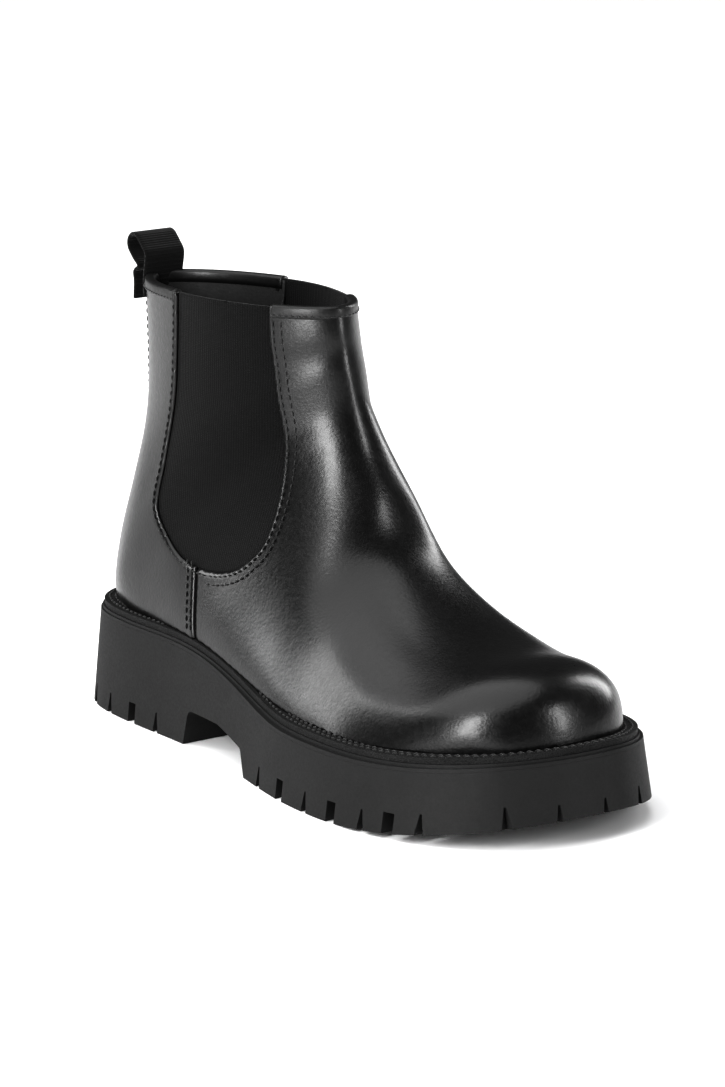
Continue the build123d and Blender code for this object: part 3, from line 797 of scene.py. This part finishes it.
def noise(nodes, links, vector, scale, detail=4.0, rough=0.55):
    n = nodes.new("ShaderNodeTexNoise")
    n.inputs["Scale"].default_value = scale
    n.inputs["Detail"].default_value = detail
    n.inputs["Roughness"].default_value = rough
    links.new(vector, n.inputs["Vector"])
    return n.outputs["Fac"]


def ramp(nodes, links, value, low, high, start=0.3, end=0.7):
    r = nodes.new("ShaderNodeValToRGB")
    r.color_ramp.elements[0].position = start
    r.color_ramp.elements[1].position = end
    r.color_ramp.elements[0].color = low
    r.color_ramp.elements[1].color = high
    links.new(value, r.inputs["Fac"])
    return r.outputs["Color"]


def bump(nodes, links, height, strength, distance, before=None):
    b = nodes.new("ShaderNodeBump")
    b.inputs["Strength"].default_value = strength
    b.inputs["Distance"].default_value = distance
    links.new(height, b.inputs["Height"])
    if before is not None:
        links.new(before, b.inputs["Normal"])
    return b.outputs["Normal"]


def grey(v, warm=0.0):
    return (v * (1 + warm), v, v * (1 - warm), 1)


def between(nodes, links, value, low, high):
    m = nodes.new("ShaderNodeMapRange")
    m.inputs["From Min"].default_value = 0.25
    m.inputs["From Max"].default_value = 0.75
    m.inputs["To Min"].default_value = low
    m.inputs["To Max"].default_value = high
    links.new(value, m.inputs["Value"])
    return m.outputs["Result"]


def leatherFinish(name, tone, roughLow, roughHigh, coat, grain):
    material, nodes, links, shader = nodeSetup(name)
    vector = coordinates(nodes, links)
    broad = noise(nodes, links, vector, 22.0, 3.0)
    fine = noise(nodes, links, vector, 420.0, 5.0, 0.6)
    links.new(ramp(nodes, links, broad, grey(tone * 0.75), grey(tone * 1.3)), shader.inputs["Base Color"])
    links.new(between(nodes, links, fine, roughLow, roughHigh), shader.inputs["Roughness"])
    pores = nodes.new("ShaderNodeTexVoronoi")
    pores.feature = "SMOOTH_F1"
    pores.inputs["Scale"].default_value = 900.0
    links.new(vector, pores.inputs["Vector"])
    first = bump(nodes, links, pores.outputs["Distance"], grain, 0.00016)
    second = bump(nodes, links, fine, grain * 0.8, 0.0003, first)
    third = bump(nodes, links, noise(nodes, links, vector, 60.0, 2.0), 0.05, 0.0010, second)
    links.new(third, shader.inputs["Normal"])
    shader.inputs["Coat Weight"].default_value = coat
    shader.inputs["Coat Roughness"].default_value = 0.2
    shader.inputs["Specular IOR Level"].default_value = 0.4
    return material


def plainFinish(name, low, high, rough, scale, strength, distance,
                sheen=0.0, metallic=0.0, stretch=(1, 1, 1), warm=0.0):
    material, nodes, links, shader = nodeSetup(name)
    vector = coordinates(nodes, links, stretch)
    grain = noise(nodes, links, vector, scale, 6.0, 0.62)
    patches = noise(nodes, links, vector, scale * 0.12, 4.0)
    links.new(ramp(nodes, links, patches, grey(low, warm), grey(high, warm)), shader.inputs["Base Color"])
    links.new(between(nodes, links, grain, rough - 0.06, rough + 0.08), shader.inputs["Roughness"])
    links.new(bump(nodes, links, grain, strength, distance), shader.inputs["Normal"])
    shader.inputs["Sheen Weight"].default_value = sheen
    shader.inputs["Metallic"].default_value = metallic
    shader.inputs["Specular IOR Level"].default_value = 0.3 if metallic == 0 else 0.5
    return material


def wovenFinish(name, tone, across, along, turn=(0, 0, 0), sheen=0.25, strength=0.5):
    material, nodes, links, shader = nodeSetup(name)
    vector = coordinates(nodes, links, (1, 1, 1), turn)
    heights = []
    for axis, period in (("X", across), ("Z", along)):
        wave = nodes.new("ShaderNodeTexWave")
        wave.bands_direction = axis
        wave.inputs["Scale"].default_value = 0.314 / period
        wave.inputs["Distortion"].default_value = 0.6
        wave.inputs["Detail"].default_value = 1.0
        wave.inputs["Detail Scale"].default_value = 1.5
        links.new(vector, wave.inputs["Vector"])
        heights.append(wave.outputs["Fac"])
    mix = nodes.new("ShaderNodeMath")
    mix.operation = "MULTIPLY"
    links.new(heights[0], mix.inputs[0])
    links.new(heights[1], mix.inputs[1])
    fuzz = noise(nodes, links, vector, 1600.0, 3.0)
    # base colour follows the weave's relief: painted shade in the hollows between the threads and a painted
    # highlight on their raised tops
    shade = ramp(nodes, links, mix.outputs[0], grey(tone * 0.6), grey(tone * 1.7), 0.1, 0.9)
    links.new(shade, shader.inputs["Base Color"])
    links.new(between(nodes, links, fuzz, 0.72, 0.9), shader.inputs["Roughness"])
    first = bump(nodes, links, mix.outputs[0], strength, 0.0004)
    links.new(bump(nodes, links, fuzz, 0.3, 0.0002, first), shader.inputs["Normal"])
    shader.inputs["Sheen Weight"].default_value = sheen
    shader.inputs["Sheen Roughness"].default_value = 0.5
    shader.inputs["Specular IOR Level"].default_value = 0.12
    return material


leatherBlack = leatherFinish("leatherBlack", 0.0026, 0.27, 0.37, 0.2, 0.3)
leatherEdge = leatherFinish("leatherEdge", 0.0035, 0.36, 0.5, 0.15, 0.3)
cutEdge = leatherFinish("cutEdge", 0.004, 0.6, 0.75, 0.0, 0.4)
liningLeather = leatherFinish("liningLeather", 0.010, 0.55, 0.72, 0.0, 0.4)
soleRubber = plainFinish("soleRubber", 0.0085, 0.0105, 0.62, 900.0, 0.16, 0.0003)
rimRubber = plainFinish("rimRubber", 0.008, 0.010, 0.6, 900.0, 0.16, 0.0003)
weltRubber = plainFinish("weltRubber", 0.005, 0.009, 0.66, 900.0, 0.9, 0.0009)
threadBlack = plainFinish("threadBlack", 0.006, 0.011, 0.55, 2400.0, 0.5, 0.0003, sheen=0.2)
weltThreadFinish = plainFinish("weltThreadFinish", 0.008, 0.016, 0.6, 2400.0, 0.5, 0.0003, sheen=0.2)
elasticBlack = wovenFinish("elasticBlack", 0.003, 0.0012, 0.0007, (0, 0, 0), 0.08, 0.4)
webbingBlack = wovenFinish("webbingBlack", 0.0045, 0.0016, 0.0011, (0, 0.78, 0), 0.1, 0.6)
footbedCloth = wovenFinish("footbedCloth", 0.03, 0.0014, 0.0014, (1.5708, 0, 0))
steel = plainFinish("springSteel", 0.45, 0.6, 0.35, 300.0, 0.15, 0.0002, metallic=1.0, stretch=(1, 14, 1))
corkFinish = plainFinish("cork", 0.12, 0.34, 0.85, 500.0, 0.8, 0.001, warm=0.4)
boardFinish = plainFinish("board", 0.35, 0.5, 0.8, 800.0, 0.4, 0.0004, warm=0.15)
foamFinish = plainFinish("coreFoam", 0.09, 0.14, 0.8, 1200.0, 0.6, 0.0004)
stiffFinish = plainFinish("stiffener", 0.5, 0.62, 0.8, 900.0, 0.4, 0.0004, warm=0.05)


def dress(obj, material):
    if not obj.data.materials:
        obj.data.materials.append(material)
    obj.data.materials[0] = material


dress(vampSkin, leatherBlack)
dress(quarterSkin, leatherBlack)
vampSkin.data.materials.append(cutEdge)
quarterSkin.data.materials.append(cutEdge)
dress(backStrip, leatherBlack)
for rim in rims:
    dress(rim, leatherEdge)
dress(liningSkin, liningLeather)
for panel in gores:
    dress(panel, elasticBlack)
dress(pullTab, webbingBlack)
dress(upperStitching, threadBlack)
dress(weltThreadPiece, weltThreadFinish)
dress(footbedPiece, footbedCloth)
dress(soleBody, soleRubber)
dress(soleTop, rimRubber)
dress(weltBand, weltRubber)
innerFinishes = {
    "heel_core": foamFinish, "forefoot_core": foamFinish, "cork_filler": corkFinish,
    "shank": steel, "shank_rivets": steel, "heel_nails": steel,
    "insole_board": boardFinish, "heel_counter": stiffFinish, "toe_puff": stiffFinish,
}
for node, material in innerFinishes.items():
    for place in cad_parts[node].material_slots:
        place.material = material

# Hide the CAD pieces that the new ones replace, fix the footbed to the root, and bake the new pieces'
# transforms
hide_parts("vamp")
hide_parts("quarter_heel", "quarter_shaft")
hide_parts("vamp_lining", "heel_lining", "shaft_lining")
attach(footbedPiece, "root")
for piece in (vampSkin, quarterSkin, liningSkin, *gores, backStrip, *rims, upperStitching):
    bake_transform(piece)
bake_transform(pullTab)

# Floor, light and camera
bpy.ops.object.select_all(action="DESELECT")
bpy.ops.mesh.primitive_plane_add(size=30.0, location=(0, 0, -0.0002))
floor = bpy.context.active_object
floor.name = "floor"
floorFinish, floorNodes, floorLinks, floorShader = nodeSetup("floorFinish")
floorCloud = noise(floorNodes, floorLinks, coordinates(floorNodes, floorLinks), 3.0)
floorTone = ramp(floorNodes, floorLinks, floorCloud, (0.92, 0.92, 0.925, 1), (0.94, 0.94, 0.94, 1))
floorLinks.new(floorTone, floorShader.inputs["Base Color"])
floorShader.inputs["Roughness"].default_value = 0.55
floorShader.inputs["Specular IOR Level"].default_value = 0.2
floor.data.materials.append(floorFinish)

# The studio is dim for reflections and white as a background
world = bpy.data.worlds.new("studio")
bpy.context.scene.world = world
world.use_nodes = True
worldNodes, worldLinks = world.node_tree.nodes, world.node_tree.links
dim = worldNodes["Background"]
dim.inputs["Color"].default_value = (1.0, 1.0, 1.0, 1)
dim.inputs["Strength"].default_value = 0.10
bright = worldNodes.new("ShaderNodeBackground")
bright.inputs["Color"].default_value = (1.0, 1.0, 1.0, 1)
bright.inputs["Strength"].default_value = 1.0
rays = worldNodes.new("ShaderNodeLightPath")
choose = worldNodes.new("ShaderNodeMixShader")
worldLinks.new(rays.outputs["Is Camera Ray"], choose.inputs["Fac"])
worldLinks.new(dim.outputs["Background"], choose.inputs[1])
worldLinks.new(bright.outputs["Background"], choose.inputs[2])
worldLinks.new(choose.outputs["Shader"], worldNodes["World Output"].inputs["Surface"])


def softLight(name, place, aim, width, height, power):
    data = bpy.data.lights.new(name, "AREA")
    data.shape = "RECTANGLE"
    data.size = width
    data.size_y = height
    data.energy = power
    obj = bpy.data.objects.new(name, data)
    bpy.context.scene.collection.objects.link(obj)
    obj.location = place
    obj.rotation_euler = (Vector(aim) - Vector(place)).to_track_quat("-Z", "Y").to_euler()


softLight("keyLight", (0.42, -1.6, 0.68), (0, 0, 0.10), 0.5, 1.3, 48)
softLight("frontLight", (1.7, 0.75, 0.7), (0, 0, 0.08), 0.3, 1.1, 20)
softLight("backLight", (-1.6, -0.9, 0.75), (0, 0, 0.08), 0.4, 1.2, 16)
softLight("innerLight", (-0.2, 1.7, 0.8), (0, 0, 0.08), 0.5, 1.2, 18)
skyData = bpy.data.lights.new("skyLight", "SUN")
skyData.energy = 3.3
skyData.angle = math.radians(75)
skyLight = bpy.data.objects.new("skyLight", skyData)
bpy.context.scene.collection.objects.link(skyLight)
skyLight.rotation_euler = (math.radians(14), math.radians(-10), 0)

camera = bpy.data.cameras.new("camera")
cameraObject = bpy.data.objects.new("camera", camera)
bpy.context.scene.collection.objects.link(cameraObject)
cameraPlace = Vector((1.525, -1.119, 0.538))
cameraObject.location = cameraPlace
cameraAim = Vector((0.002, 0.004, 0.086))
cameraObject.rotation_euler = (cameraAim - cameraPlace).to_track_quat("-Z", "Y").to_euler()
camera.lens = 165
camera.sensor_width = 36
camera.clip_end = 100
bpy.context.scene.camera = cameraObject
bpy.context.scene.view_settings.view_transform = "Standard"
bpy.context.scene.view_settings.gamma = 0.74

print("done")
